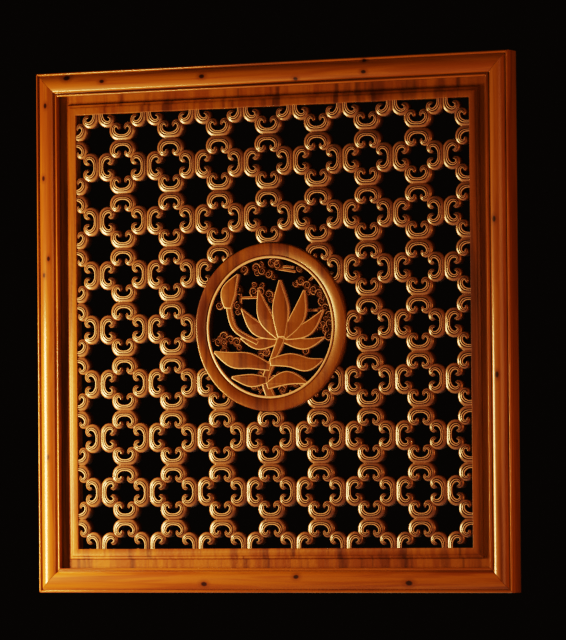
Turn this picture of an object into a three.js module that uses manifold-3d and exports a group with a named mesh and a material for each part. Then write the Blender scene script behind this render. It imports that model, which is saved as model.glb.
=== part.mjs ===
// A square carved wooden wall panel: a mitred moulded frame, a pierced lattice board of back-to-back
// C-scrolls, and a round medallion let into the middle of the board.
// Millimetres, +Z up, +X to the right, front faces -Y, back against the wall at y = 0.
// The origin is on the back of the top rail, where the panel hangs on the wall.
import * as THREE from 'three';
import { mergeVertices } from 'three/addons/utils/BufferGeometryUtils.js';
import Module from 'manifold-3d';

const wasm = await Module();
wasm.setup();

// ---- driving dimensions ----
const PANEL_SIZE = 600;
const RAIL_WIDTH = 28;
const RAIL_DEPTH = 24.5; // wall to the crest of the rail's broad face
const BEAD_TOP = 23; // wall to the crest of the rail's two small beads
const OUTER_BEAD = 2.8; // width of the bead along the rail's outer edge
const INNER_BEAD = 3; // width of the bead along the rail's inner edge
const OUTER_QUIRK = 1.7; // width of the groove beside the outer bead
const INNER_QUIRK = 2.5; // width of the groove beside the inner bead
const QUIRK_LEVEL = 19.8; // wall to the bottom of both grooves
const SHOULDER_LEVEL = 21; // wall to the sides of the grooves
const CROWN_FALL = 1.2; // how far the broad face falls towards its sides
const SIDE_GROOVE_LEVEL = 17.8; // wall to the fine groove round the frame's outer side
const SIDE_GROOVE = 0.7; // its depth, and half its width
const REBATE_WIDTH = 6; // step behind the rail that holds the board's edge
const BACK_ROUND = 0.8; // rounding of the frame's outer back edge
const FIT_GAP = 0.3; // play between pieces that meet

const FLOOR_WIDTH = 10.5; // sunk margin of the board, between rail and border
const BORDER_WIDTH = 11.5; // raised border round the lattice, its outer fillet included
const FILLET_WIDTH = 2.5; // low outer step of the border
const BOARD_BACK = 7.5; // wall to the back of the board
const FLOOR_LEVEL = 14.5; // wall to the face of the sunk margin
const FILLET_LEVEL = 17; // wall to the border's low outer step
const BOARD_FACE = 18.5; // wall to the face of the border and the lattice

const PITCHES = 8; // lattice repeats across the field, and up it
const ROW_PITCH = 62.25; // a row is a hair closer to the next than a column is
const SCROLL_LENGTH = 34; // one C-scroll, end to end
const SCROLL_DEPTH = 21; // one C-scroll, back to curls
const SPINE_WIDTH = 7; // band of the scroll at its back
const MOUTH_WIDTH = 2.6; // slit between a scroll's two curls
const BACK_LENGTH = 17; // straight back that a scroll shares with its twin
const CURL_SETBACK = 2.6; // from a scroll's front to where its two curls come closest
const CURL_OVERLAP = 1.2; // corner where the curls of two neighbouring scrolls run together
const END_ROUND = 1.75; // how far the round end of a scroll narrows the opening beside it

const RING_RADIUS = 96; // medallion, outside
const RING_HOLE_RADIUS = 78;
const RING_FACE = 19; // wall to the ring's face, a little proud of the lattice
const RING_SIDES = 36;
const CLOUD_LEVEL = 15; // wall to the face of the small clouds between the leaves
const CLOUD_POINTS = 9;
const CLOUD_RADIUS = 5.2; // one curl
const BAR_LEVEL = 13; // wall to the face of the thin bars
const BAR_WIDTH = 3.2;
const BLADE_STATIONS = 6;

const halfPanel = PANEL_SIZE / 2;
const fieldSize = PANEL_SIZE - 2 * (RAIL_WIDTH + FLOOR_WIDTH + BORDER_WIDTH);
const columnPitch = fieldSize / PITCHES;
const rebateEdge = RAIL_WIDTH - REBATE_WIDTH;
const hangHeight = halfPanel - (BACK_ROUND + rebateEdge) / 2;

// ---- materials ----
const varnishedPine = new THREE.MeshStandardMaterial({ color: 0xb8620f, roughness: 0.35, metalness: 0 });
const stileWood = varnishedPine.clone();
const railWood = varnishedPine.clone();
const boardWood = new THREE.MeshStandardMaterial({ color: 0xa3510f, roughness: 0.38, metalness: 0 });
const medallionWood = new THREE.MeshStandardMaterial({ color: 0xb05a0e, roughness: 0.34, metalness: 0 });

// ---- solids and back again ----
function toSolid(geometry) {
  const bare = geometry.index ? geometry.toNonIndexed() : geometry.clone();
  bare.deleteAttribute('normal');
  bare.deleteAttribute('uv');
  const merged = mergeVertices(bare, 1e-4);
  return new wasm.Manifold(new wasm.Mesh({
    numProp: 3,
    vertProperties: Float32Array.from(merged.attributes.position.array),
    triVerts: Uint32Array.from(merged.index.array),
  }));
}

function toGeometry(solid) {
  const mesh = solid.getMesh();
  const geometry = new THREE.BufferGeometry();
  geometry.setAttribute('position', new THREE.BufferAttribute(mesh.vertProperties, 3));
  geometry.setIndex(new THREE.BufferAttribute(mesh.triVerts, 1));
  geometry.computeVertexNormals();
  return geometry;
}

function uniteAll(solids) {
  return solids.reduce((whole, solid) => whole.add(solid));
}

// A flat outline (x across, y up) becomes a plate from one level above the wall to another.
function plate(points, lowLevel, highLevel) {
  const geometry = new THREE.ExtrudeGeometry(new THREE.Shape(points), {
    depth: highLevel - lowLevel,
    bevelEnabled: false,
  });
  geometry.translate(0, 0, lowLevel);
  geometry.rotateX(Math.PI / 2);
  return toSolid(geometry);
}

// The same outline as a cutter that goes right through the board.
function throughCut(points) {
  return plate(points, 0, RAIL_DEPTH);
}

function square(halfSide) {
  return [[-1, -1], [1, -1], [1, 1], [-1, 1]].map(
    ([x, y]) => new THREE.Vector2(x * halfSide, y * halfSide),
  );
}

// One side of a four-sided opening, repeated a quarter turn at a time.
function onFourSides(side) {
  const centre = new THREE.Vector2();
  return [0, 1, 2, 3].flatMap((turn) => side.map(
    ([x, y]) => new THREE.Vector2(x, y).rotateAround(centre, turn * Math.PI / 2),
  ));
}

function circle(radius) {
  return Array.from({ length: RING_SIDES }, (_, k) => {
    const angle = 2 * Math.PI * k / RING_SIDES;
    return new THREE.Vector2(radius * Math.cos(angle), radius * Math.sin(angle));
  });
}

function moved(points, x, y) {
  return points.map((p) => new THREE.Vector2(p.x + x, p.y + y));
}

// ---- frame ----
// Section of a rail: x is measured in from the outer side, y out from the wall.
function railSection() {
  const broadStart = OUTER_BEAD + OUTER_QUIRK;
  const innerBeadStart = RAIL_WIDTH - INNER_BEAD;
  const broadEnd = innerBeadStart - INNER_QUIRK;
  const broadMiddle = (broadStart + broadEnd) / 2;
  const roundness = (broadEnd - broadStart) / 6;
  const lipLevel = FLOOR_LEVEL + FIT_GAP;
  const outline = new THREE.Shape();
  outline.moveTo(0, BACK_ROUND);
  outline.lineTo(0, SIDE_GROOVE_LEVEL - SIDE_GROOVE);
  outline.lineTo(SIDE_GROOVE, SIDE_GROOVE_LEVEL);
  outline.lineTo(0, SIDE_GROOVE_LEVEL + SIDE_GROOVE);
  outline.lineTo(0, SHOULDER_LEVEL);
  outline.quadraticCurveTo(0, BEAD_TOP, OUTER_BEAD / 2, BEAD_TOP);
  outline.lineTo(OUTER_BEAD, SHOULDER_LEVEL);
  outline.lineTo(OUTER_BEAD + OUTER_QUIRK / 2, QUIRK_LEVEL);
  outline.lineTo(broadStart, SHOULDER_LEVEL);
  outline.bezierCurveTo(
    broadStart + 0.3, RAIL_DEPTH - CROWN_FALL,
    broadStart + roundness, RAIL_DEPTH,
    broadMiddle, RAIL_DEPTH,
  );
  outline.bezierCurveTo(
    broadEnd - roundness, RAIL_DEPTH,
    broadEnd - 0.3, RAIL_DEPTH - CROWN_FALL,
    broadEnd, SHOULDER_LEVEL,
  );
  outline.lineTo(broadEnd + INNER_QUIRK / 2, QUIRK_LEVEL);
  outline.lineTo(innerBeadStart, SHOULDER_LEVEL);
  outline.lineTo(innerBeadStart + INNER_BEAD / 2, BEAD_TOP);
  outline.quadraticCurveTo(RAIL_WIDTH, BEAD_TOP, RAIL_WIDTH, SHOULDER_LEVEL);
  outline.lineTo(RAIL_WIDTH, lipLevel);
  outline.lineTo(rebateEdge, lipLevel);
  outline.lineTo(rebateEdge, 0);
  outline.lineTo(BACK_ROUND, 0);
  outline.quadraticCurveTo(0, 0, 0, BACK_ROUND);
  return outline;
}

// One side of the frame, its ends mitred because each point of the section runs only to the corner line.
function railGeometry() {
  const geometry = new THREE.ExtrudeGeometry(railSection(), {
    depth: 1,
    bevelEnabled: false,
    curveSegments: 4,
  });
  const place = geometry.attributes.position;
  for (let i = 0; i < place.count; i += 1) {
    const inset = place.getX(i);
    const level = place.getY(i);
    const along = (1 - 2 * place.getZ(i)) * (halfPanel - inset - FIT_GAP / 2);
    place.setXYZ(i, along, -level, halfPanel - inset);
  }
  geometry.computeVertexNormals();
  return geometry;
}

function frameSide(name, quarterTurns, material) {
  const mesh = new THREE.Mesh(railGeometry(), material);
  mesh.name = name;
  mesh.rotation.y = quarterTurns * Math.PI / 2;
  return mesh;
}

// ---- lattice board ----
// Where four scrolls face one another they leave a flower-shaped opening: a square heart with
// one slot on each side, narrow between two curls and wide along the scroll's spine.
function flowerOpening() {
  const slotEnd = columnPitch / 2 - SPINE_WIDTH;
  const heart = columnPitch / 2 - SCROLL_DEPTH;
  const throat = heart + CURL_SETBACK;
  const side = [
    [heart + CURL_OVERLAP, heart + CURL_OVERLAP],
    [MOUTH_WIDTH / 2, throat],
    [BACK_LENGTH / 2, slotEnd],
    [-BACK_LENGTH / 2, slotEnd],
    [-MOUTH_WIDTH / 2, throat],
  ];
  return onFourSides(side);
}

// Behind the scrolls each cell leaves an eight-sided opening. It runs out to a point between two
// scrolls that stand back to back, and its other four corners lie between their round ends.
function cellOpening() {
  const corner = (columnPitch - SCROLL_LENGTH) / 2 - END_ROUND;
  return onFourSides([[corner, corner], [0, (columnPitch - BACK_LENGTH) / 2]]);
}

// An opening is needed only where some of it lies outside the medallion.
function isOpenAt(x, y) {
  return Math.hypot(x, y) > RING_RADIUS - columnPitch / 2;
}

function openings() {
  const half = PITCHES / 2;
  const prisms = [];
  for (let i = -half; i <= half; i += 1) {
    for (let j = -half; j <= half; j += 1) {
      const x = i * columnPitch;
      const y = j * ROW_PITCH;
      if (isOpenAt(x, y)) {
        prisms.push(throughCut(moved(flowerOpening(), x, y)));
      }
      const cellX = x + columnPitch / 2;
      const cellY = y + ROW_PITCH / 2;
      if (i < half && j < half && isOpenAt(cellX, cellY)) {
        prisms.push(throughCut(moved(cellOpening(), cellX, cellY)));
      }
    }
  }
  return uniteAll(prisms).intersect(throughCut(square(fieldSize / 2)));
}

function latticeBoard() {
  const boardEdge = halfPanel - rebateEdge - FIT_GAP;
  const borderEdge = fieldSize / 2 + BORDER_WIDTH;
  const blank = uniteAll([
    plate(square(boardEdge), BOARD_BACK, FLOOR_LEVEL),
    plate(square(borderEdge), BOARD_BACK, FILLET_LEVEL),
    plate(square(borderEdge - FILLET_WIDTH), BOARD_BACK, BOARD_FACE),
  ]);
  const seat = throughCut(circle(RING_RADIUS + FIT_GAP));
  return blank.subtract(openings()).subtract(seat);
}

// ---- medallion ----
// Ring with both edges of its face eased.
function medallionRing() {
  const ease = 1.5;
  const section = [
    [RING_HOLE_RADIUS, BOARD_BACK],
    [RING_RADIUS, BOARD_BACK],
    [RING_RADIUS, RING_FACE - ease],
    [RING_RADIUS - ease, RING_FACE],
    [RING_HOLE_RADIUS + ease, RING_FACE],
    [RING_HOLE_RADIUS, RING_FACE - ease],
    [RING_HOLE_RADIUS, BOARD_BACK],
  ].map(([radius, level]) => new THREE.Vector2(radius, level));
  return toSolid(new THREE.LatheGeometry(section, RING_SIDES).rotateX(Math.PI));
}

// A stem, leaf or petal: a curve through a few points, as wide as the matching widths say.
function blade(spine, widths, highLevel, stations) {
  const curve = new THREE.SplineCurve(spine.map(([x, y]) => new THREE.Vector2(x, y)));
  const spread = new THREE.SplineCurve(widths.map((width, k) => new THREE.Vector2(k, width)));
  const left = [];
  const right = [];
  for (let k = 0; k <= stations; k += 1) {
    const point = curve.getPoint(k / stations);
    const tangent = curve.getTangent(k / stations);
    const reach = spread.getPoint(k / stations).y / 2;
    const sideways = new THREE.Vector2(-tangent.y, tangent.x).multiplyScalar(reach);
    right.push(point.clone().sub(sideways));
    left.unshift(point.clone().add(sideways));
  }
  return plate([...right, ...left], BOARD_BACK, highLevel);
}

// Small round curl of a cloud.
function cloud([x, y]) {
  const outline = Array.from({ length: CLOUD_POINTS }, (_, k) => {
    const angle = 2 * Math.PI * k / CLOUD_POINTS;
    return new THREE.Vector2(x + CLOUD_RADIUS * Math.cos(angle), y + CLOUD_RADIUS * Math.sin(angle));
  });
  return plate(outline, BOARD_BACK, CLOUD_LEVEL);
}

// A lotus with its leaves and a bud. Places are from the middle of the ring.
const LOTUS = {
  stem: { spine: [[0, -81], [-7, -60], [2, -38], [14, -12]], widths: [11, 9, 8, 10] },
  middlePetal: { spine: [[14, -12], [13, 20], [12, 53]], widths: [10, 21, 2] },
  leftPetal: { spine: [[12, -12], [-7, 12], [-15, 43]], widths: [9, 18, 2] },
  rightPetal: { spine: [[16, -12], [35, 11], [43, 41]], widths: [9, 18, 2] },
  leftOuterPetal: { spine: [[10, -11], [-18, -1], [-37, 21]], widths: [9, 16, 2] },
  rightOuterPetal: { spine: [[18, -11], [46, -3], [67, 18]], widths: [9, 16, 2] },
  leftLowPetal: { spine: [[12, -14], [-16, -19], [-39, -12]], widths: [9, 13, 2] },
  rightLowPetal: { spine: [[16, -14], [43, -20], [68, -13]], widths: [9, 13, 2] },
  leftLeaf: { spine: [[0, -46], [-26, -38], [-49, -36], [-72, -27]], widths: [8, 18, 18, 3] },
  rightLeaf: { spine: [[-1, -40], [24, -38], [46, -43], [66, -38]], widths: [8, 16, 16, 3] },
  leftLowLeaf: { spine: [[-5, -60], [-26, -60], [-50, -56]], widths: [8, 15, 3] },
  rightLowLeaf: { spine: [[-5, -67], [20, -58], [46, -64]], widths: [8, 16, 3] },
  budStem: { spine: [[-16, -18], [-46, -1], [-54, 26]], widths: [6, 6, 7] },
  bud: { spine: [[-54, 22], [-53, 41], [-41, 61]], widths: [9, 19, 2] },
};

// Clouds fill in between the lotus and the ring, in groups: places of the curls' middles.
const CLOUDS = [
  [-27, 70], [-19, 68], [-11, 64], [-3, 60], [1, 72], [9, 70], [36, 67], [43, 62], [38, 51], [46, 46], [54, 41],
  [61, 37], [64, 28], [68, 20], [74, 12], [37, 3], [45, 3], [53, 2], [61, 0], [70, -4], [73, -12], [-48, 53],
  [-53, 46], [-42, 43], [-22, 41], [-13, 40], [-3, 37], [-60, 33], [-52, 29], [-43, 25], [-2, 12], [-60, -9],
  [-52, -13], [-44, -16], [-18, -16], [-60, -25], [-57, -33], [-14, -32], [-7, -29], [43, -28], [69, -36],
  [-14, -54], [-5, -56], [3, -59], [-14, -68], [14, -71], [22, -72], [30, -64], [38, -62], [-68, -15], [-66, 26],
  [-34, 66], [-69, -31], [74, 3], [22, -63], [-22, -66],
];
// Thin bars tie the clouds to the lotus and the ring.
const BARS = [
  [[-2, 70], [28, 67]], [[-42, 34], [-18, 34]], [[44, 18], [66, 18]], [[-15, 6], [-6, 26]], [[6, 66], [30, 62]],
  [[-40, 39], [-40, 20]], [[-53, 46], [-64, 50]], [[44, 48], [56, 58]], [[-14, -68], [-18, -79]],
  [[38, -62], [44, -69]], [[54, 41], [66, 46]], [[-34, 66], [-38, 72]], [[69, -36], [76, -32]], [[22, -72], [26, -78]],
  [[-66, -12], [-79, -14]], [[-3, 37], [10, 39]], [[9, 72], [10, 79]],
];

function medallion() {
  const lotus = Object.values(LOTUS).map(
    ({ spine, widths }) => blade(spine, widths, BOARD_FACE, BLADE_STATIONS),
  );
  const bars = BARS.map((ends) => blade(ends, [BAR_WIDTH, BAR_WIDTH], BAR_LEVEL, 1));
  return uniteAll([medallionRing(), ...lotus, ...CLOUDS.map(cloud), ...bars]);
}

// ---- assembly ----
const panel = new THREE.Group();
panel.position.z = -hangHeight;

panel.add(frameSide('frame_rail_top', 0, railWood));
panel.add(frameSide('frame_stile_right', 1, stileWood));
panel.add(frameSide('frame_rail_bottom', 2, railWood.clone()));
panel.add(frameSide('frame_stile_left', 3, stileWood.clone()));

const board = new THREE.Mesh(toGeometry(latticeBoard()), boardWood);
board.name = 'lattice_board';
panel.add(board);

const disc = new THREE.Mesh(toGeometry(medallion()), medallionWood);
disc.name = 'medallion';
panel.add(disc);

const wallPanel = new THREE.Group();
wallPanel.add(panel);
export default wallPanel;
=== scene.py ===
"""A square carved wooden wall panel: mitred pine frame, pierced lattice of C-scrolls, round medallion.

Everything is in metres in the part's own frame: +Z up, +X to the right, front towards -Y, wall at y = 0.
"""
import math
import random

import bpy
from mathutils import Matrix, Vector


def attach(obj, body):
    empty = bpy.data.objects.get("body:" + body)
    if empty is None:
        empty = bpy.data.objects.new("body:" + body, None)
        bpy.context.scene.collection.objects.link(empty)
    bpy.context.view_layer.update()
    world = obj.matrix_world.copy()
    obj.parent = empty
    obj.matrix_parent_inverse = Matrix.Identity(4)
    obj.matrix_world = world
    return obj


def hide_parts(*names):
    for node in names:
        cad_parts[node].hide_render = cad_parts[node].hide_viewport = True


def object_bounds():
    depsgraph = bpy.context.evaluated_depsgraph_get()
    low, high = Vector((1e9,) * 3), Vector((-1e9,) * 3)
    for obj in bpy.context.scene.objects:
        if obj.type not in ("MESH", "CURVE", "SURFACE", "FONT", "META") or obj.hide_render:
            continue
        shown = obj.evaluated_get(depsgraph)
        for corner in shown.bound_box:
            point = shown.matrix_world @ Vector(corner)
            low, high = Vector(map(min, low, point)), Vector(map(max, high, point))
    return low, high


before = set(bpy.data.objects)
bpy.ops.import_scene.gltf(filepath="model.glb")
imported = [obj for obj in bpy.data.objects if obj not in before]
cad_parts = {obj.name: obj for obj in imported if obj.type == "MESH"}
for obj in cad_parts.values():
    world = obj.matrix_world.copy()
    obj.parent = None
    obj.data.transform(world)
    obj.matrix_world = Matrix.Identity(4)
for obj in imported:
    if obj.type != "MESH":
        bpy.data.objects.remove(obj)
cad_low, cad_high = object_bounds()

MM = 0.001
HALF = (cad_high.x - cad_low.x) / 2  # half of the panel's width
MIDDLE = (cad_high.z + cad_low.z) / 2  # height of the panel's middle
FIT_GAP = 0.3 * MM  # play between pieces that meet

# Levels above the wall
CREST = cad_high.y - cad_low.y  # top of the rails' crowned face
BEAD_TOP = CREST - 1.5 * MM
BOARD_BACK = 7.5 * MM
FLOOR = 14.5 * MM  # sunk margin of the board
BOARD_FACE = 18.5 * MM
RING_FACE = 19 * MM

# Across the panel, from its middle or from its edge
RAIL_WIDTH = 28 * MM
REBATE = 22 * MM
FLOOR_WIDTH = 10.5 * MM
BORDER_EDGE = HALF - RAIL_WIDTH - FLOOR_WIDTH
FIELD = HALF - 50 * MM  # half of the pierced field's width
COLUMN_PITCH = 62.6 * MM
ROW_PITCH = 62.25 * MM

# The lattice sits a little left and high in its frame, and a little out of square:
# its columns lean by this share of their height, and its rows by this share of their length
LATTICE_LEFT = 1.5 * MM
LATTICE_UP = 1 * MM
COLUMN_LEAN = 0.0024
ROW_LEAN = 0.0034

RING_OUTER = 96 * MM
RING_INNER = 78 * MM


# ---------------------------------------------------------------- working in edit mode

def use(piece):
    """Selects this piece alone and makes it the active one."""
    bpy.ops.object.select_all(action="DESELECT")
    piece.select_set(True)
    bpy.context.view_layer.objects.active = piece


def fresh(name):
    """Names the piece that an operator has just added."""
    piece = bpy.context.object
    piece.name = piece.data.name = name
    return piece


def open_mesh(piece, kind="VERT"):
    """Opens the piece in edit mode with all of it selected."""
    use(piece)
    bpy.ops.object.mode_set(mode="EDIT")
    bpy.ops.mesh.select_mode(type=kind)
    bpy.ops.mesh.select_all(action="SELECT")


def close_mesh():
    bpy.ops.object.mode_set(mode="OBJECT")


def closed_outline(name, points, stains_and_shading):
    """A loop of edges through these points, made from a circle's corners.

    Each point says how dark it is with dust and painted shade, how pale with wear and painted highlight, and
    how faded; whatever is extruded from the loop keeps these marks.
    """
    bpy.ops.mesh.primitive_circle_add(vertices=len(points), radius=1)
    loop = fresh(name)
    for corner, point in zip(loop.data.vertices, points):
        corner.co = point
    layer = loop.data.color_attributes.new("stain", "FLOAT_COLOR", "POINT")
    for place, (dark, wear_and_highlight, faded) in zip(layer.data, stains_and_shading):
        place.color = (dark, wear_and_highlight, faded, 1)
    return loop


def keep_stains_and_shading(piece):
    """Moves the marks of dust, wear, fading and painted shading to the faces' corners, where cutting and
    joining leave them as they are.
    """
    use(piece)
    piece.data.attributes.active_color = piece.data.color_attributes["stain"]
    bpy.ops.geometry.color_attribute_convert(domain="CORNER", data_type="FLOAT_COLOR")


def paint_side_shading(piece, top, rim):
    """Painted shade darkens the sides towards the back, and the eased rim, this deep below the face, is
    painted pale as a highlight.
    """
    fade = 4  # millimetres over which a side goes dark
    stains_and_shading = piece.data.color_attributes.new("stain", "FLOAT_COLOR", "CORNER")
    for face in piece.data.polygons:
        front = face.normal.y < -0.99
        for corner in face.loop_indices:
            vertex = piece.data.vertices[piece.data.loops[corner].vertex_index]
            deep = top + (vertex.co.y + BOARD_BACK) / MM
            wear_and_highlight = 0 if front or deep > rim + 0.01 else 1
            stains_and_shading.data[corner].color = (min(max((deep - rim) / fade, 0), 1), wear_and_highlight, 0, 1)
    return piece


def carry(shift=(0, 0, 0), turn=0, pivot=(0, 0, 0), shrink=1):
    """Extrudes the selected loop, then slides, turns and narrows the new one in the panel's plane."""
    bpy.ops.mesh.extrude_region_move(TRANSFORM_OT_translate={"value": shift})
    if turn:
        bpy.ops.transform.rotate(value=turn, orient_axis="Y", center_override=pivot)
    if shrink != 1:
        bpy.ops.transform.resize(value=(shrink, 1, shrink), center_override=pivot)


def copied(piece, name, matrix):
    """A copy with its own mesh, moved in its mesh and not as an object."""
    twin = piece.copy()
    twin.data = piece.data.copy()
    twin.name = twin.data.name = name
    twin.data.transform(matrix)
    bpy.context.collection.objects.link(twin)
    return twin


def joined(name, pieces):
    """Puts loose pieces in one mesh."""
    bpy.ops.object.select_all(action="DESELECT")
    for piece in pieces:
        piece.select_set(True)
    bpy.context.view_layer.objects.active = pieces[0]
    if len(pieces) > 1:
        bpy.ops.object.join()
    return fresh(name)


def combine(piece, other, operation="UNION"):
    """Joins another solid to this one, or cuts it out, and throws the other away."""
    use(piece)
    step = piece.modifiers.new(operation, "BOOLEAN")
    step.operation = operation
    step.solver = "MANIFOLD"
    step.object = other
    bpy.ops.object.modifier_apply(modifier=step.name)
    bpy.data.objects.remove(other)
    return piece


def outward(piece):
    """Merges corners that coincide and turns all faces outwards."""
    open_mesh(piece)
    bpy.ops.mesh.remove_doubles(threshold=1e-6)
    bpy.ops.mesh.normals_make_consistent(inside=False)
    close_mesh()


def smooth(piece, degrees):
    use(piece)
    bpy.ops.object.shade_smooth_by_angle(angle=math.radians(degrees))


# ---------------------------------------------------------------- lattice scroll

# Half of a C-scroll that opens upwards: points on its outer and its inner edge, in millimetres.
# It runs from the middle of its back, round the end and into the curl.
SCROLL = [
    ((0, 0), (0, 6.9)),
    ((5.6, 0), (3.5, 7.2)),
    ((10.1, 0.4), (6.2, 8.5)),
    ((13.4, 2.7), (7.9, 10.0)),
    ((15.8, 5.9), (8.8, 11.4)),
    ((17.0, 9.8), (9.1, 12.7)),
    ((16.8, 13.9), (9.0, 13.9)),
    ((15.0, 17.8), (8.5, 14.8)),
    ((11.6, 20.5), (7.8, 15.3)),
    ((7.6, 21.1), (7.0, 15.3)),
    ((4.2, 19.9), (6.4, 14.9)),
    ((2.3, 17.3), (5.9, 14.4)),
    ((2.1, 14.3), (5.6, 13.8)),
    ((3.8, 12.1), (5.3, 13.0)),
]


def scroll_section():
    """Across the scroll's band, from its outer edge: an eased rim, two grooves and two ribs.

    Each point is its distance in, its height above the board's back, how dark it is with dust and painted
    shade in the grooves and down the walls, and how pale with wear and painted highlight on the ribs and the
    slope.
    """
    return [
        (0, 0, 0.9, 0), (0, 8.0, 0.45, 0), (0.25, 8.9, 0.1, 0), (1.2, 9.8, 0, 0.2),
        (2.8, 10.35, 0.15, 0), (3.15, 9.5, 1, 0), (3.65, 9.5, 1, 0), (4.0, 10.4, 0, 1), (4.5, 10.6, 0, 1),
        (4.85, 9.5, 1, 0), (5.4, 9.5, 1, 0), (5.8, 10.35, 0, 1), (6.4, 10.3, 0, 1), (6.9, 9.3, 0.95, 0),
        (6.9, 0, 1, 0),
    ]


def c_scroll():
    """The section is carried from station to station through half the scroll, then mirrored."""
    half_turn = math.pi
    section = scroll_section()
    points = [(0, -(BOARD_BACK + height * MM), inward * MM) for inward, height, dark, wear_and_highlight in section]
    scroll = closed_outline("scroll", points, [(dark, wear_and_highlight, 1) for inward, height, dark, wear_and_highlight in section])
    stations = [(Vector((a, 0, b)) * MM, Vector((c, 0, d)) * MM) for (a, b), (c, d) in SCROLL]
    open_mesh(scroll)
    for (rim, inner), (next_rim, next_inner) in zip(stations, stations[1:]):
        before, after = inner - rim, next_inner - next_rim
        turn = math.atan2(before.x, before.z) - math.atan2(after.x, after.z)
        carry(
            shift=next_rim - rim, pivot=next_rim, shrink=after.length / before.length,
            turn=(turn + half_turn) % (2 * half_turn) - half_turn,
        )
    bpy.ops.mesh.edge_face_add()
    close_mesh()
    use(scroll)
    twin = scroll.modifiers.new("other half", "MIRROR")
    twin.merge_threshold = 1e-5
    bpy.ops.object.modifier_apply(modifier=twin.name)
    outward(scroll)
    keep_stains_and_shading(scroll)
    return scroll


def scattered_scrolls(pattern, name, places, quarter):
    """Copies of the scroll at these places, each a little different, as carving by hand leaves them."""
    most_sway, most_slip, overlap = 1.2, 0.3, 0.2 * MM
    copies = []
    for x, z in places:
        sway = math.radians(random.uniform(-most_sway, most_sway))
        spread = random.uniform(0.985, 1.015)
        x, z = x - LATTICE_LEFT - COLUMN_LEAN * z, z + LATTICE_UP - ROW_LEAN * x
        x = x + random.uniform(-most_slip, most_slip) * MM
        z = z + random.uniform(-most_slip, most_slip) * MM
        turned = Matrix.Rotation(-quarter * math.pi / 2 + sway, 4, "Y")
        seat = Matrix.Translation((x, 0, z)) @ turned @ Matrix.Translation((0, 0, -overlap))
        stretch = Matrix.Diagonal((spread, 1, random.uniform(0.99, 1.01), 1))
        copies.append(copied(pattern, name, seat @ stretch))
    return joined(name, copies)


def shown(x, z):
    """A scroll is wanted if its middle is in the field or near it, and not well under the medallion."""
    past_field, under_ring = 10 * MM, 8 * MM
    inside = max(abs(x), abs(z)) < FIELD + past_field
    return inside and math.hypot(x, z) > RING_OUTER - under_ring


def lattice():
    """Scrolls stand in twos, back to back. Those that open up or down alternate with those to the sides."""
    random.seed(7)
    pattern = c_scroll()
    half_count = 4
    columns = [count * COLUMN_PITCH for count in range(-half_count, half_count + 1)]
    rows = [count * ROW_PITCH for count in range(-half_count, half_count + 1)]
    mid_columns = [x + COLUMN_PITCH / 2 for x in columns[:-1]]
    mid_rows = [z + ROW_PITCH / 2 for z in rows[:-1]]
    stacked = [(x, z) for x in columns for z in mid_rows]
    abreast = [(x, z) for x in mid_columns for z in rows]
    off = 10 * MM  # from a scroll's back to about its middle
    groups = [(stacked, 0, 0, off), (stacked, 2, 0, -off), (abreast, 3, off, 0), (abreast, 1, -off, 0)]
    whole = None
    for places, quarter, dx, dz in groups:
        kept = [(x, z) for x, z in places if shown(x + dx, z + dz)]
        group = scattered_scrolls(pattern, f"scrolls_{quarter}", kept, quarter)
        whole = combine(whole, group) if whole else group
    bpy.data.objects.remove(pattern)
    bpy.ops.mesh.primitive_cube_add(size=1, location=(0, -BOARD_BACK, 0))
    field = fresh("field")
    width, depth = 2 * FIELD + MM, 60 * MM  # runs half a millimetre into the border and right through
    field.data.transform(Matrix.Diagonal((width, depth, width, 1)))
    return combine(whole, field, "INTERSECT")


def board_border():
    """A flat sheet is inset again and again: sunk margin, fillet, groove, border and the open field."""
    edge = HALF - REBATE - FIT_GAP
    bpy.ops.mesh.primitive_plane_add(size=2 * edge, rotation=(math.pi / 2, 0, 0), location=(0, -FLOOR, 0))
    sheet = fresh("border")
    bpy.ops.object.transform_apply(location=True, rotation=True, scale=True)
    open_mesh(sheet, "FACE")
    # Each step of the border goes in and up by so many millimetres
    steps = [(0.6, 2.0), (0.4, 0.4), (1.9, 0.1), (0.5, 0.4), (0.9, 0.6), (0.9, 0.35), (0.9, 0.15)]
    ease, ease_depth = 0.6, 0.5 * MM
    bpy.ops.mesh.inset(thickness=edge - BORDER_EDGE - ease * MM, depth=0)
    for inset, rise in steps:
        bpy.ops.mesh.inset(thickness=inset * MM, depth=rise * MM)
    used = (sum(inset for inset, rise in steps) - ease) * MM
    bpy.ops.mesh.inset(thickness=BORDER_EDGE - FIELD - used - ease * MM, depth=0)
    bpy.ops.mesh.inset(thickness=ease * MM, depth=-ease_depth)
    to_back = (0, BOARD_FACE - ease_depth - BOARD_BACK, 0)
    bpy.ops.mesh.extrude_region_move(TRANSFORM_OT_translate={"value": to_back})
    bpy.ops.mesh.delete(type="FACE")
    close_mesh()
    return sheet


def back_of(sheet, level):
    """Carries the sheet's outer edge back to a level and closes the back with a frame of faces."""
    open_mesh(sheet, "EDGE")
    bpy.ops.mesh.select_all(action="DESELECT")
    bpy.ops.mesh.select_non_manifold(extend=False)
    close_mesh()
    for edge in sheet.data.edges:
        ends = [sheet.data.vertices[v].co.y for v in edge.vertices]
        edge.select = edge.select and max(abs(y + FLOOR) for y in ends) < 1e-5
    use(sheet)
    bpy.ops.object.mode_set(mode="EDIT")
    bpy.ops.mesh.extrude_edges_move(TRANSFORM_OT_translate={"value": (0, FLOOR - level, 0)})
    bpy.ops.mesh.select_all(action="DESELECT")
    bpy.ops.mesh.select_non_manifold(extend=False)
    bpy.ops.mesh.bridge_edge_loops()
    close_mesh()
    outward(sheet)


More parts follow.
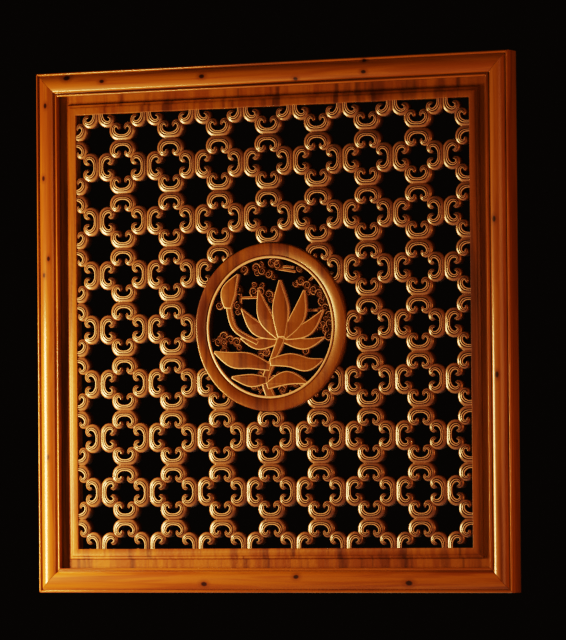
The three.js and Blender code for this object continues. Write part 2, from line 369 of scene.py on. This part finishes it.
def ring_cutter(radius):
    """A plug, longer than the board is thick, that cuts the medallion's seat."""
    bpy.ops.mesh.primitive_cylinder_add(
        vertices=128, radius=radius, depth=80 * MM,
        rotation=(math.pi / 2, 0, 0), location=(0, -BOARD_BACK, 0),
    )
    cutter = fresh("seat")
    bpy.ops.object.transform_apply(location=True, rotation=True, scale=True)
    return cutter


def lattice_board():
    """Border and lattice made one, with the medallion's seat cut out."""
    board = board_border()
    back_of(board, BOARD_BACK)
    combine(board, lattice())
    combine(board, ring_cutter(RING_OUTER + FIT_GAP), "DIFFERENCE")
    board.name = board.data.name = "carved_lattice"
    smooth(board, 42)
    return board


# ---------------------------------------------------------------- frame

def arc(centre, radius, start, end, steps):
    """Points on an arc, both ends included, with its angles in degrees."""
    angles = [math.radians(start + (end - start) * count / steps) for count in range(steps + 1)]
    return [(centre[0] + radius[0] * math.cos(a), centre[1] + radius[1] * math.sin(a)) for a in angles]


def rail_section():
    """Across a rail: distance in from the outer side, height above the wall. Beads flank a crowned face."""
    crest, bead = CREST / MM, BEAD_TOP / MM
    lip = FLOOR / MM + 0.3
    return [
        *arc((0.8, 0.8), (0.8, 0.8), 270, 180, 2),
        (0, 17.1), (0.5, 17.5), (0.5, 18.1), (0, 18.5),
        *arc((1.5, bead - 1.5), (1.5, 1.5), 180, 10, 9),
        (3.4, bead - 2), (3.9, bead - 2),
        (4.2, crest - 3.2), *arc((13.8, crest - 17), (17, 17), 124, 56, 20),
        (23.6, crest - 3.2), (24.5, crest - 3.4), (25.0, bead - 1.4),
        *arc((26.6, bead - 1.4), (1.4, 1.4), 165, 0, 8),
        (28, lip), (22, lip), (22, 0),
    ]


def rail_dust_and_shade(points):
    """Varnish and dust with painted shade darken the grooves beside the beads, and painted shade darkens the
    inside of the frame low down.
    """
    stains_and_shading = []
    for inset, height in points:
        outer_groove = max(0, 0.8 - abs(inset - 3.6)) if height > 18 else 0
        inner_groove = max(0, 0.9 - abs(inset - 24.1))
        low_inside = 0.8 if inset > 21 and height < 15 else 0
        stains_and_shading.append((outer_groove + inner_groove + low_inside, 0, 0))
    return stains_and_shading


def rail(name, quarter):
    """The moulding is run the whole side long, and its ends are then cut to the mitre."""
    section = rail_section()
    points = [(-HALF, -height * MM, HALF - inset * MM) for inset, height in section]
    run = closed_outline(name, points, rail_dust_and_shade(section))
    open_mesh(run)
    carry(shift=(2 * HALF, 0, 0))
    close_mesh()
    for side in (-1, 1):
        open_mesh(run)
        bpy.ops.mesh.bisect(
            plane_co=(0, 0, FIT_GAP / 2), plane_no=(side, 0, -1), use_fill=True, clear_outer=True
        )
        close_mesh()
    outward(run)
    use(run)
    ease = run.modifiers.new("eased mitre", "BEVEL")
    ease.width = 0.25 * MM
    ease.limit_method = "ANGLE"
    ease.angle_limit = math.radians(60)
    bpy.ops.object.modifier_apply(modifier=ease.name)
    side = Matrix.Translation((0, 0, MIDDLE)) @ Matrix.Rotation(quarter * math.pi / 2, 4, "Y")
    run.data.transform(side)
    smooth(run, 35)
    return run


# ---------------------------------------------------------------- medallion

LOTUS = [
    # part, spine from the ring's middle in millimetres, widths along it, height above the board's back
    ("stem", [(0, -81), (-7, -60), (2, -38), (14, -12)], [11, 9, 8, 10], 10.2),
    ("left_leaf", [(0, -46), (-26, -38), (-49, -36), (-72, -27)], [8, 18, 18, 3], 10.6),
    ("right_leaf", [(-1, -40), (24, -38), (46, -43), (66, -38)], [8, 16, 16, 3], 10.8),
    ("left_low_leaf", [(-5, -60), (-26, -60), (-50, -56)], [8, 15, 3], 10.4),
    ("right_low_leaf", [(-5, -67), (20, -58), (46, -64)], [8, 16, 3], 10.5),
    ("left_low_petal", [(12, -14), (-16, -19), (-39, -12)], [9, 13, 2], 9.6),
    ("right_low_petal", [(16, -14), (43, -20), (68, -13)], [9, 13, 2], 9.7),
    ("left_outer_petal", [(10, -11), (-18, -1), (-37, 21)], [9, 16, 2], 10.1),
    ("right_outer_petal", [(18, -11), (46, -3), (67, 18)], [9, 16, 2], 10.2),
    ("left_petal", [(12, -12), (-7, 12), (-15, 43)], [9, 18, 2], 10.6),
    ("right_petal", [(16, -12), (35, 11), (43, 41)], [9, 18, 2], 10.7),
    ("middle_petal", [(14, -12), (13, 20), (12, 53)], [10, 21, 2], 11),
    ("bud_stem", [(-16, -18), (-46, -1), (-54, 26)], [6, 6, 7], 9.8),
    ("bud", [(-54, 22), (-53, 41), (-41, 61)], [9, 19, 2], 10.9),
]

# Middles of the clouds' curls, from the ring's middle in millimetres
CLOUDS = [
    (-27, 70), (-19, 68), (-11, 64), (-3, 60), (1, 72), (9, 70), (36, 67), (43, 62), (38, 51), (46, 46),
    (54, 41), (61, 37), (64, 28), (68, 20), (74, 12), (37, 3), (45, 3), (53, 2), (61, 0), (70, -4),
    (73, -12), (-48, 53), (-53, 46), (-42, 43), (-22, 41), (-13, 40), (-3, 37), (-60, 33), (-52, 29),
    (-43, 25), (-2, 12), (-60, -9), (-52, -13), (-44, -16), (-18, -16), (-60, -25), (-57, -33), (-14, -32),
    (-7, -29), (43, -28), (69, -36), (-14, -54), (-5, -56), (3, -59), (-14, -68), (14, -71), (22, -72),
    (30, -64), (38, -62), (-68, -15), (-66, 26), (-34, 66), (-69, -31), (74, 3), (22, -63), (-22, -66),
]

# Ends of the thin bars between the clouds, the lotus and the ring
BARS = [
    [(-2, 70), (28, 67)], [(-42, 34), (-18, 34)], [(44, 18), (66, 18)], [(-15, 6), (-6, 26)],
    [(6, 66), (30, 62)], [(-40, 39), (-40, 20)], [(-53, 46), (-64, 50)], [(44, 48), (56, 58)],
    [(-14, -68), (-18, -79)], [(38, -62), (44, -69)], [(54, 41), (66, 46)], [(-34, 66), (-38, 72)],
    [(69, -36), (76, -32)], [(22, -72), (26, -78)], [(-66, -12), (-79, -14)], [(-3, 37), (10, 39)],
    [(9, 72), (10, 79)],
]


def through(points, share):
    """Point on the smooth curve that runs through these points, at this share of its length in steps."""
    last = len(points) - 1
    step = min(int(share * last), last - 1)
    w = share * last - step
    before, here = points[max(step - 1, 0)], points[step]
    after, beyond = points[step + 1], points[min(step + 2, last)]
    return tuple(
        b + w * (
            (c - a) / 2
            + w * (a - 2.5 * b + 2 * c - d / 2 + w * ((d - a) / 2 + 1.5 * (b - c)))
        )
        for a, b, c, d in zip(before, here, after, beyond)
    )


def blade_outline(spine, widths, steps=18):
    """Both sides of a leaf, petal or stem round its spine."""
    nudge = 0.001
    left, right = [], []
    widths = [(width,) for width in widths]
    for count in range(steps + 1):
        share = count / steps
        x, z = through(spine, share)
        x0, z0 = through(spine, max(share - nudge, 0))
        x1, z1 = through(spine, min(share + nudge, 1))
        length = math.hypot(x1 - x0, z1 - z0)
        reach = through(widths, share)[0] / 2 / length
        right.append((x + (z1 - z0) * reach, z - (x1 - x0) * reach))
        left.append((x - (z1 - z0) * reach, z + (x1 - x0) * reach))
    return right + left[::-1]


def cut_out(name, outline, low, high, ease):
    """A flat outline in millimetres becomes a solid between two levels, its edges eased."""
    bpy.ops.curve.primitive_bezier_circle_add(radius=MM)
    sheet = fresh(name)
    shape = sheet.data
    shape.dimensions = "2D"
    shape.fill_mode = "BOTH"
    shape.splines.clear()
    side = shape.splines.new("POLY")
    side.points.add(len(outline) - 1)
    for point, (x, z) in zip(side.points, outline):
        point.co = (x * MM, z * MM, 0, 1)
    side.use_cyclic_u = True
    shape.bevel_depth = ease * MM
    shape.bevel_resolution = 2
    shape.offset = -ease * MM
    shape.extrude = (high - low - 2 * ease) / 2 * MM
    use(sheet)
    bpy.ops.object.convert(target="MESH")
    solid = fresh(name)
    level = BOARD_BACK + (low + high) / 2 * MM
    solid.data.transform(Matrix.Translation((0, -level, 0)) @ Matrix.Rotation(math.pi / 2, 4, "X"))
    outward(solid)
    return solid


def ring():
    """The ring's section is spun right round, and its outside is left a little uneven, as cut by hand."""
    face = (RING_FACE - BOARD_BACK) / MM
    outside, inside = RING_OUTER / MM - 0.3, RING_INNER / MM
    section = [
        (inside, 0), (outside, 0),
        *arc((outside - 2, face - 2), (2, 2), 0, 90, 5),
        (inside + 4.6, face), (inside + 4.0, face - 0.5),
        (inside + 3.4, face - 0.9), (inside + 2.9, face - 0.5),
        *arc((inside + 1.3, face - 1.3), (1.3, 1.3), 60, 180, 5),
    ]
    # Painted shade and dust darken the grooves and the ring's outside lower down; the inner lip's crest is
    # painted pale with wear and highlight
    stains_and_shading = []
    for radius, height in section:
        in_groove = radius < inside + 0.1 or abs(radius - inside - 3.4) < 0.3
        wear_and_highlight = 1 if radius < inside + 2.7 and height > 6 else 0
        stains_and_shading.append((1 if in_groove else max(0, 1 - height / 9), wear_and_highlight, 0))
    points = [(radius * MM, -(BOARD_BACK + height * MM), 0) for radius, height in section]
    loop = closed_outline("ring", points, stains_and_shading)
    open_mesh(loop)
    bpy.ops.mesh.spin(steps=112, angle=2 * math.pi, center=(0, 0, 0), axis=(0, 1, 0))
    close_mesh()
    outward(loop)
    keep_stains_and_shading(loop)
    for vertex in loop.data.vertices:
        x, z = vertex.co.x, vertex.co.z
        around = math.atan2(z, x)
        if math.hypot(x, z) > RING_OUTER - 3 * MM:
            wobble = 1 + 0.0022 * math.sin(5 * around + 1) + 0.0012 * math.sin(11 * around)
            vertex.co.x, vertex.co.z = x * wobble, z * wobble
    return loop


def snail():
    """A round curl: a rib with a crest painted pale with wear and highlight, winding in on itself over a seat
    painted dark as shade.
    """
    section = [
        (4.8, 0, 1, 0), (4.8, 7.2, 0.3, 0), (4.5, 8.3, 0, 0.6), (4.1, 8.8, 0, 1), (3.7, 8.3, 0, 0.6),
        (3.4, 7.4, 0.9, 0), (3.4, 0, 1, 0),
    ]
    points = [(reach * MM, -(BOARD_BACK + height * MM), 0) for reach, height, dark, wear_and_highlight in section]
    coil = closed_outline("snail", points, [(dark, wear_and_highlight, 0.7) for reach, height, dark, wear_and_highlight in section])
    open_mesh(coil)
    for _ in range(19):  # a little over a turn and a half
        carry(turn=math.radians(30), shrink=0.925)
    bpy.ops.mesh.edge_face_add()
    close_mesh()
    for edge in coil.data.edges:
        ends = [coil.data.vertices[v].co for v in edge.vertices]
        edge.select = all(abs(end.z) < 1e-7 and end.x > 2.5 * MM for end in ends)
    use(coil)
    bpy.ops.object.mode_set(mode="EDIT")
    bpy.ops.mesh.edge_face_add()
    close_mesh()
    outward(coil)
    keep_stains_and_shading(coil)
    bpy.ops.mesh.primitive_cylinder_add(
        vertices=20, radius=4.3 * MM, depth=6.6 * MM, rotation=(math.pi / 2, 0, 0),
        location=(0, -BOARD_BACK - 3.3 * MM, 0),
    )
    seat = fresh("snail_seat")
    bpy.ops.object.transform_apply(location=True, rotation=True, scale=True)
    return combine(coil, paint_side_shading(seat, 9, 0))


def clouds():
    """Each curl is turned its own way and has a smaller one at its side.

    Curls that touch are kept in different groups, and the groups are then joined one to another.
    """
    random.seed(3)
    pattern = snail()
    apart, spacing = 4, 7
    full_turn = 2 * math.pi
    groups = [[] for _ in range(2 * apart)]
    for count, (x, z) in enumerate(CLOUDS):
        sizes = [random.uniform(1.15, 1.4), random.uniform(0.8, 1.0)]
        around = random.uniform(0, full_turn)
        for part, size in enumerate(sizes):
            away = spacing * part
            spot = Vector((x + away * math.cos(around), 0, z + away * math.sin(around))) * MM
            if spot.length > RING_INNER - 3 * MM:
                continue
            place = (
                Matrix.Translation(spot)
                @ Matrix.Rotation(random.uniform(0, full_turn), 4, "Y")
                @ Matrix.Diagonal((size * random.choice((-1, 1)), 1, size, 1))
            )
            twin = copied(pattern, "cloud", place)
            groups[count % apart + apart * part].append(twin)
    whole = None
    for group in groups:
        group = joined("clouds", group)
        outward(group)
        whole = combine(whole, group) if whole else group
    bpy.data.objects.remove(pattern)
    return whole


def medallion():
    """Ring, clouds, bars and lotus, joined into one carving."""
    bar_widths, bar_bottom, bar_top, bar_ease = [2.8, 2.8], 0.5, 6.5, 0.6
    blade_ease = 1.1
    disc = ring()
    combine(disc, clouds())
    for ends in BARS:
        bar = cut_out("bar", blade_outline(ends, bar_widths, 2), bar_bottom, bar_top, bar_ease)
        combine(disc, paint_side_shading(bar, bar_top, bar_ease))
    for name, spine, widths, top in LOTUS:
        blade = cut_out(name, blade_outline(spine, widths), 0, top, blade_ease)
        combine(disc, paint_side_shading(blade, top, blade_ease))
    disc.name = disc.data.name = "carved_medallion"
    disc.data.transform(Matrix.Translation((0, 0, MIDDLE)))
    smooth(disc, 40)
    return disc


# ---------------------------------------------------------------- shader arithmetic

class Term:
    """A shader socket that arithmetic can be written on."""

    def __init__(self, finish, socket):
        self.finish, self.socket = finish, socket

    def _with(self, operation, *others):
        return self.finish.math(operation, *others)

    def __add__(self, other):
        return self._with("ADD", self, other)

    def __radd__(self, other):
        return self._with("ADD", other, self)

    def __sub__(self, other):
        return self._with("SUBTRACT", self, other)

    def __rsub__(self, other):
        return self._with("SUBTRACT", other, self)

    def __mul__(self, other):
        return self._with("MULTIPLY", self, other)

    def __rmul__(self, other):
        return self._with("MULTIPLY", other, self)

    def __truediv__(self, other):
        return self._with("DIVIDE", self, other)

    def __rtruediv__(self, other):
        return self._with("DIVIDE", other, self)


class Finish:
    """One material, built node by node."""

    def __init__(self, name):
        self.material = bpy.data.materials.new(name)
        self.material.use_nodes = True
        self.tree = self.material.node_tree
        self.shader = next(n for n in self.tree.nodes if n.type == "BSDF_PRINCIPLED")

    def node(self, kind, settings=None, outlet=0, **inputs):
        """Adds a node, sets it up, then feeds its sockets by name, or by number after an underscore.

        Returns one of its outlets as a term.
        """
        made = self.tree.nodes.new(kind)
        for key, value in (settings or {}).items():
            setattr(made, key, value)
        for key, value in inputs.items():
            slot = made.inputs[int(key[1:])] if key[0] == "_" else made.inputs[key.replace("_", " ")]
            self.feed(slot, value)
        return Term(self, made.outputs[outlet])

    def feed(self, slot, value):
        if isinstance(value, Term):
            self.tree.links.new(value.socket, slot)
        elif slot.type == "RGBA" and len(value) == 3:
            slot.default_value = (*value, 1)
        else:
            slot.default_value = value

    def math(self, operation, *values):
        inputs = {f"_{place}": value for place, value in enumerate(values)}
        return self.node("ShaderNodeMath", {"operation": operation}, **inputs)

    def outlets(self, term, *numbers):
        """Further outlets of the node that a term comes from."""
        return [Term(self, term.socket.node.outputs[number]) for number in numbers]

    def blend(self, share, first, second):
        return self.node("ShaderNodeMix", {"data_type": "RGBA"}, outlet=2, _0=share, _6=first, _7=second)

    def between(self, value, low, high, out_low=0.0, out_high=1.0):
        """Maps a value's range to another, smoothly and without running past it."""
        return self.node(
            "ShaderNodeMapRange", {"interpolation_type": "SMOOTHSTEP"},
            _0=value, _1=low, _2=high, _3=out_low, _4=out_high,
        )

    def noise(self, where, scale, detail=2.0, roughness=0.5, distortion=0.0):
        return self.node(
            "ShaderNodeTexNoise", Vector=where, Scale=scale, Detail=detail,
            Roughness=roughness, Distortion=distortion,
        )

    def place(self, scale=(1, 1, 1), shift=(0, 0, 0)):
        """The piece's own coordinates, in metres, scaled and moved."""
        spot = self.node("ShaderNodeTexCoord", outlet=3)
        return self.node("ShaderNodeMapping", Vector=spot, Location=shift, Scale=scale)

    def set(self, **values):
        for key, value in values.items():
            self.feed(self.shader.inputs[key.replace("_", " ")], value)


GOLD = (0.42, 0.170, 0.011)
AMBER = (0.30, 0.098, 0.006)
UMBER = (0.11, 0.026, 0.0025)
# Pale colour of worn wood, also laid on crests, ribs and eased rims as a painted highlight
WEAR_AND_HIGHLIGHT = (0.94, 0.69, 0.54)
FADED = (0.22, 0.118, 0.078)
HEARTWOOD = (0.085, 0.014, 0.003)
KNOT_CORE = (0.032, 0.004, 0.003)
# Dark colour of dust, also laid into grooves, recesses and the lower sides as painted shade
DUST_AND_SHADE = (0.020, 0.004, 0.0015)
PLAIN_COAT = 1.5  # refractive index of a usual coat of varnish


def varnished_wood(
    name, upright, seed, streaks, knots=(), tone=1.0, gloss=0.2, coat=PLAIN_COAT, carved=False, patches=()
):
    """Pine under amber varnish. The grain runs up or across; knots are places on the panel in millimetres.

    Dust and painted shade darken the carving's depths, wear and painted highlight pale its crests, and faded
    wood has lost some of its amber.
    A coat that shines more than a plain one lies on the faded carving, and hardly on the flat wood.
    """
    finish = Finish(name)
    drawn_out = 0.045  # the grain's figure, across as a share of along
    along = (1, 1, drawn_out) if upright else (drawn_out, 1, 1)
    grainwise = finish.place(scale=along, shift=(seed, 0.37 * seed, 0.71 * seed))
    # Broad tone, growth rings and fibre, from coarse to fine
    body = finish.noise(grainwise, 26, 3, 0.55)
    rings = finish.noise(grainwise, 95, 4, 0.6, 0.8)
    fibre = finish.noise(grainwise, 700, 3, 0.65)
    x, z = finish.outlets(finish.node("ShaderNodeSeparateXYZ", Vector=finish.place()), 0, 2)

    def out_from(px, pz, half_width, half_height):
        """Distance from a place on the panel, where 1 is the edge of an oval of this size in millimetres."""
        dx = (x - px * MM) / (half_width * MM)
        dz = (z - (pz * MM + MIDDLE)) / (half_height * MM)
        return finish.math("SQRT", dx * dx + dz * dz)

    knotty = None
    for kx, kz, size in knots:
        wide, high = (1.0, 1.5) if upright else (1.5, 1.0)  # a knot is longer along the grain
        near = out_from(kx, kz, size * wide, size * high)
        knotty = finish.math("MINIMUM", knotty, near) if knotty else near
    dark = finish.between(rings, 0.40, 0.66) * 0.7 + finish.between(body, 0.45, 0.75) * streaks
    dark = dark + finish.between(fibre, 0.5, 0.8) * 0.22
    gold, amber, umber = ([c * tone for c in shade] for shade in (GOLD, AMBER, UMBER))
    colour = finish.blend(finish.between(dark, 0.05, 0.95), gold, amber)
    streak = finish.between(finish.noise(grainwise, 75, 3, 0.55), 0.54, 0.70) * streaks
    colour = finish.blend(streak, colour, umber)
    if knotty:
        halo = finish.between(knotty, 1.0, 2.6, 1.0, 0.0)
        colour = finish.blend(halo * 0.6, colour, [c * 0.7 for c in AMBER])
        core = finish.between(knotty, 0.55, 1.15, 1.0, 0.0)
        colour = finish.blend(core * 0.97, colour, KNOT_CORE)
    uneven = finish.noise(grainwise, 160, 2, 0.5) * 0.7 if patches else None
    for px, pz, half_width, half_height, strength in patches:
        away = out_from(px, pz, half_width, half_height) + uneven
        colour = finish.blend(finish.between(away, 0.9, 1.5, strength, 0.0), colour, HEARTWOOD)
    marks = finish.node("ShaderNodeAttribute", {"attribute_name": "stain"})
    stain, wear_and_highlight, faded = finish.outlets(finish.node("ShaderNodeSeparateColor", Color=marks), 0, 1, 2)
    colour = finish.blend(faded * 0.55, colour, FADED)
    # Wear and painted highlight pale the crests, ribs and eased rims
    colour = finish.blend(wear_and_highlight * 0.82, colour, WEAR_AND_HIGHLIGHT)
    # Dust and painted shade darken grooves, recesses and the lower parts of sides
    colour = finish.blend(finish.between(stain, 0.0, 1.0) * 0.94, colour, DUST_AND_SHADE)
    coat_weight = finish.between(stain, 0.1, 0.9, 1.0, 0.2)
    if coat > PLAIN_COAT:
        coat_weight = coat_weight * finish.between(faded, 0.2, 0.8, 0.12, 1.0)
    finish.set(
        Base_Color=colour,
        Roughness=finish.between(fibre, 0.3, 0.8, 0.40, 0.52), Specular_IOR_Level=gloss,
        Coat_Weight=coat_weight, Coat_Roughness=0.28 if carved else 0.2, Coat_IOR=coat,
    )
    relief = fibre * 0.25 + rings * 0.35
    if carved:
        tool_marks = finish.noise(finish.place(shift=(seed, 0, 0)), 260, 2, 0.5)
        relief = relief + tool_marks * 1.6
    finish.set(Normal=finish.node(
        "ShaderNodeBump", Strength=0.35, Distance=0.0004 if carved else 0.0002, Height=relief,
    ))
    return finish.material


def dress(piece, material, node):
    """Gives the piece its wood, hides that node's part from the model, and hangs the piece on the root body.
    """
    piece.data.materials.clear()
    piece.data.materials.append(material)
    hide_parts(node)
    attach(piece, "root")


# ---------------------------------------------------------------- the panel

SIDES = {
    # rail, quarter turns, upright grain, knots as (x, z, size) from the panel's middle in millimetres
    "top": (0, False, [
        (-259, 293, 3.2), (-212, 287, 2.3), (-82, 287, 2.6), (37, 279, 2.2), (123, 283, 2.3), (123, 296, 2.0),
    ]),
    "right": (1, True, [(282, 113, 2.6), (284, -59, 2.6)]),
    "bottom": (2, False, [(-84, -290, 2.9), (33, -282, 2.6), (174, -289, 3.2)]),
    "left": (3, True, [
        (-287, 262, 2.3), (-290, 178, 2.3), (-284, 85, 2.2), (-290, 66, 2.2), (-287, -144, 2.6),
    ]),
}

# Darker grain: x, z, half width, half height in millimetres from the panel's middle, strength
BOARD_PATCHES = [
    (98, 262, 6, 16, 0.45), (136, 262, 12, 16, 0.5), (176, 262, 12, 16, 0.5), (214, 262, 9, 16, 0.45),
    (-50, -262, 6, 16, 0.4), (90, -262, 6, 16, 0.45), (140, -262, 8, 16, 0.45), (162, -262, 6, 16, 0.45),
    (214, -262, 7, 16, 0.5),
]
RING_PATCHES = [(-90, 12, 16, 42, 0.8), (-72, 56, 14, 20, 0.5), (12, 92, 14, 8, 0.3)]

for side, (quarter, upright, knots) in SIDES.items():
    piece = rail(f"moulding_{side}", quarter)
    wood = varnished_wood(f"pine_{side}", upright, seed=1.3 * quarter + 0.5, streaks=0.6, knots=knots)
    kind = "stile" if upright else "rail"
    dress(piece, wood, f"frame_{kind}_{side}")

board = lattice_board()
board.data.transform(Matrix.Translation((0, 0, MIDDLE)))
board_wood = varnished_wood(
    "carved_board_wood", upright=True, seed=7.7, streaks=0.8, tone=0.82, gloss=0.3, coat=1.85,
    carved=True, patches=BOARD_PATCHES,
)
dress(board, board_wood, "lattice_board")

disc = medallion()
disc_wood = varnished_wood(
    "medallion_wood", upright=True, seed=4.1, streaks=0.7, tone=0.64, carved=True, patches=RING_PATCHES
)
dress(disc, disc_wood, "medallion")


# ---------------------------------------------------------------- camera, light and stage

YAW, PITCH, ROLL = math.radians(27.05), math.radians(2.026), math.radians(-0.467)
FOCAL_LENGTH, SENSOR_WIDTH = 326.0, 36


def look(yaw, pitch, roll):
    """Turns for a camera that looks along this heading."""
    ahead = Vector((-math.sin(yaw) * math.cos(pitch), math.cos(yaw) * math.cos(pitch), math.sin(pitch)))
    across = Vector((math.cos(yaw), math.sin(yaw), 0))
    above = across.cross(ahead)
    right = across * math.cos(roll) + above * math.sin(roll)
    up = above * math.cos(roll) - across * math.sin(roll)
    return Matrix((right, up, -ahead)).transposed().to_4x4()


lens = bpy.data.cameras.new("view")
lens.sensor_fit = "HORIZONTAL"
lens.sensor_width = SENSOR_WIDTH
lens.lens = FOCAL_LENGTH
lens.clip_end = 50
camera = bpy.data.objects.new("view", lens)
bpy.context.collection.objects.link(camera)
spot = Vector((2.645, -5.143 - BEAD_TOP, -0.197 + MIDDLE))
camera.matrix_world = Matrix.Translation(spot) @ look(YAW, PITCH, ROLL)
bpy.context.scene.camera = camera


def soft_light(name, power, size, place, aim, colour, tall=None):
    """A round lamp, or an upright oblong one if it has a height as well."""
    lamp = bpy.data.lights.new(name, "AREA")
    lamp.shape = "RECTANGLE" if tall else "DISK"
    lamp.energy, lamp.size, lamp.size_y, lamp.color = power, size, tall or size, colour
    holder = bpy.data.objects.new(name, lamp)
    bpy.context.collection.objects.link(holder)
    heading = Vector(aim) - Vector(place)
    holder.matrix_world = Matrix.Translation(place) @ heading.to_track_quat("-Z", "Y").to_matrix().to_4x4()
    return holder


# Power in watts, size and place in metres. The key is low and close, at the left.
low_left, face_middle = (-0.25, -BEAD_TOP, MIDDLE - 0.2), (0, -BEAD_TOP, MIDDLE)
soft_light("key", 10.5, 0.12, (-0.70, -0.36, MIDDLE - 0.19), low_left, (1, 0.61, 0.25), tall=0.42)
soft_light("fill", 2.9, 0.4, (1.20, -0.30, MIDDLE - 0.10), (0.2, -BEAD_TOP, MIDDLE), (1, 0.33, 0.06))
soft_light("front", 3.5, 0.8, (0.4, -1.5, MIDDLE), face_middle, (1, 0.44, 0.14))
behind = soft_light("back", 40, 1.0, (-0.91, 1.78, MIDDLE + 0.07), (0, 0, MIDDLE), (1, 0.80, 0.6))
behind.visible_camera = behind.visible_glossy = False  # lights the back, puts no glare in the openings

HANGING_HEIGHT = 0.9  # from the floor to the panel's lower edge
bpy.ops.mesh.primitive_plane_add(size=6, location=(0, -2, cad_low.z - HANGING_HEIGHT))
floor = fresh("floor")
pale = Finish("pale_floor")
pale.set(Base_Color=(0.8, 0.79, 0.77), Roughness=0.8)
floor.data.materials.append(pale.material)

world = bpy.data.worlds.new("studio")
bpy.context.scene.world = world
world.use_nodes = True
sky = world.node_tree.nodes["Background"]
sky.inputs["Color"].default_value = (1, 0.7, 0.5, 1)
sky.inputs["Strength"].default_value = 0.003
picture = bpy.context.scene.view_settings
picture.view_transform = "Standard"
picture.use_curve_mapping = True
# The tone curve deepens the darkest tones, lifts the middle ones and holds back the brightest
contrast = picture.curve_mapping.curves[3]
contrast.points[1].location = (1, 0.80)
for dim, shown_as in [(0.04, 0.030), (0.1, 0.112), (0.2, 0.263), (0.4, 0.503), (0.7, 0.70)]:
    contrast.points.new(dim, shown_as)
picture.curve_mapping.update()
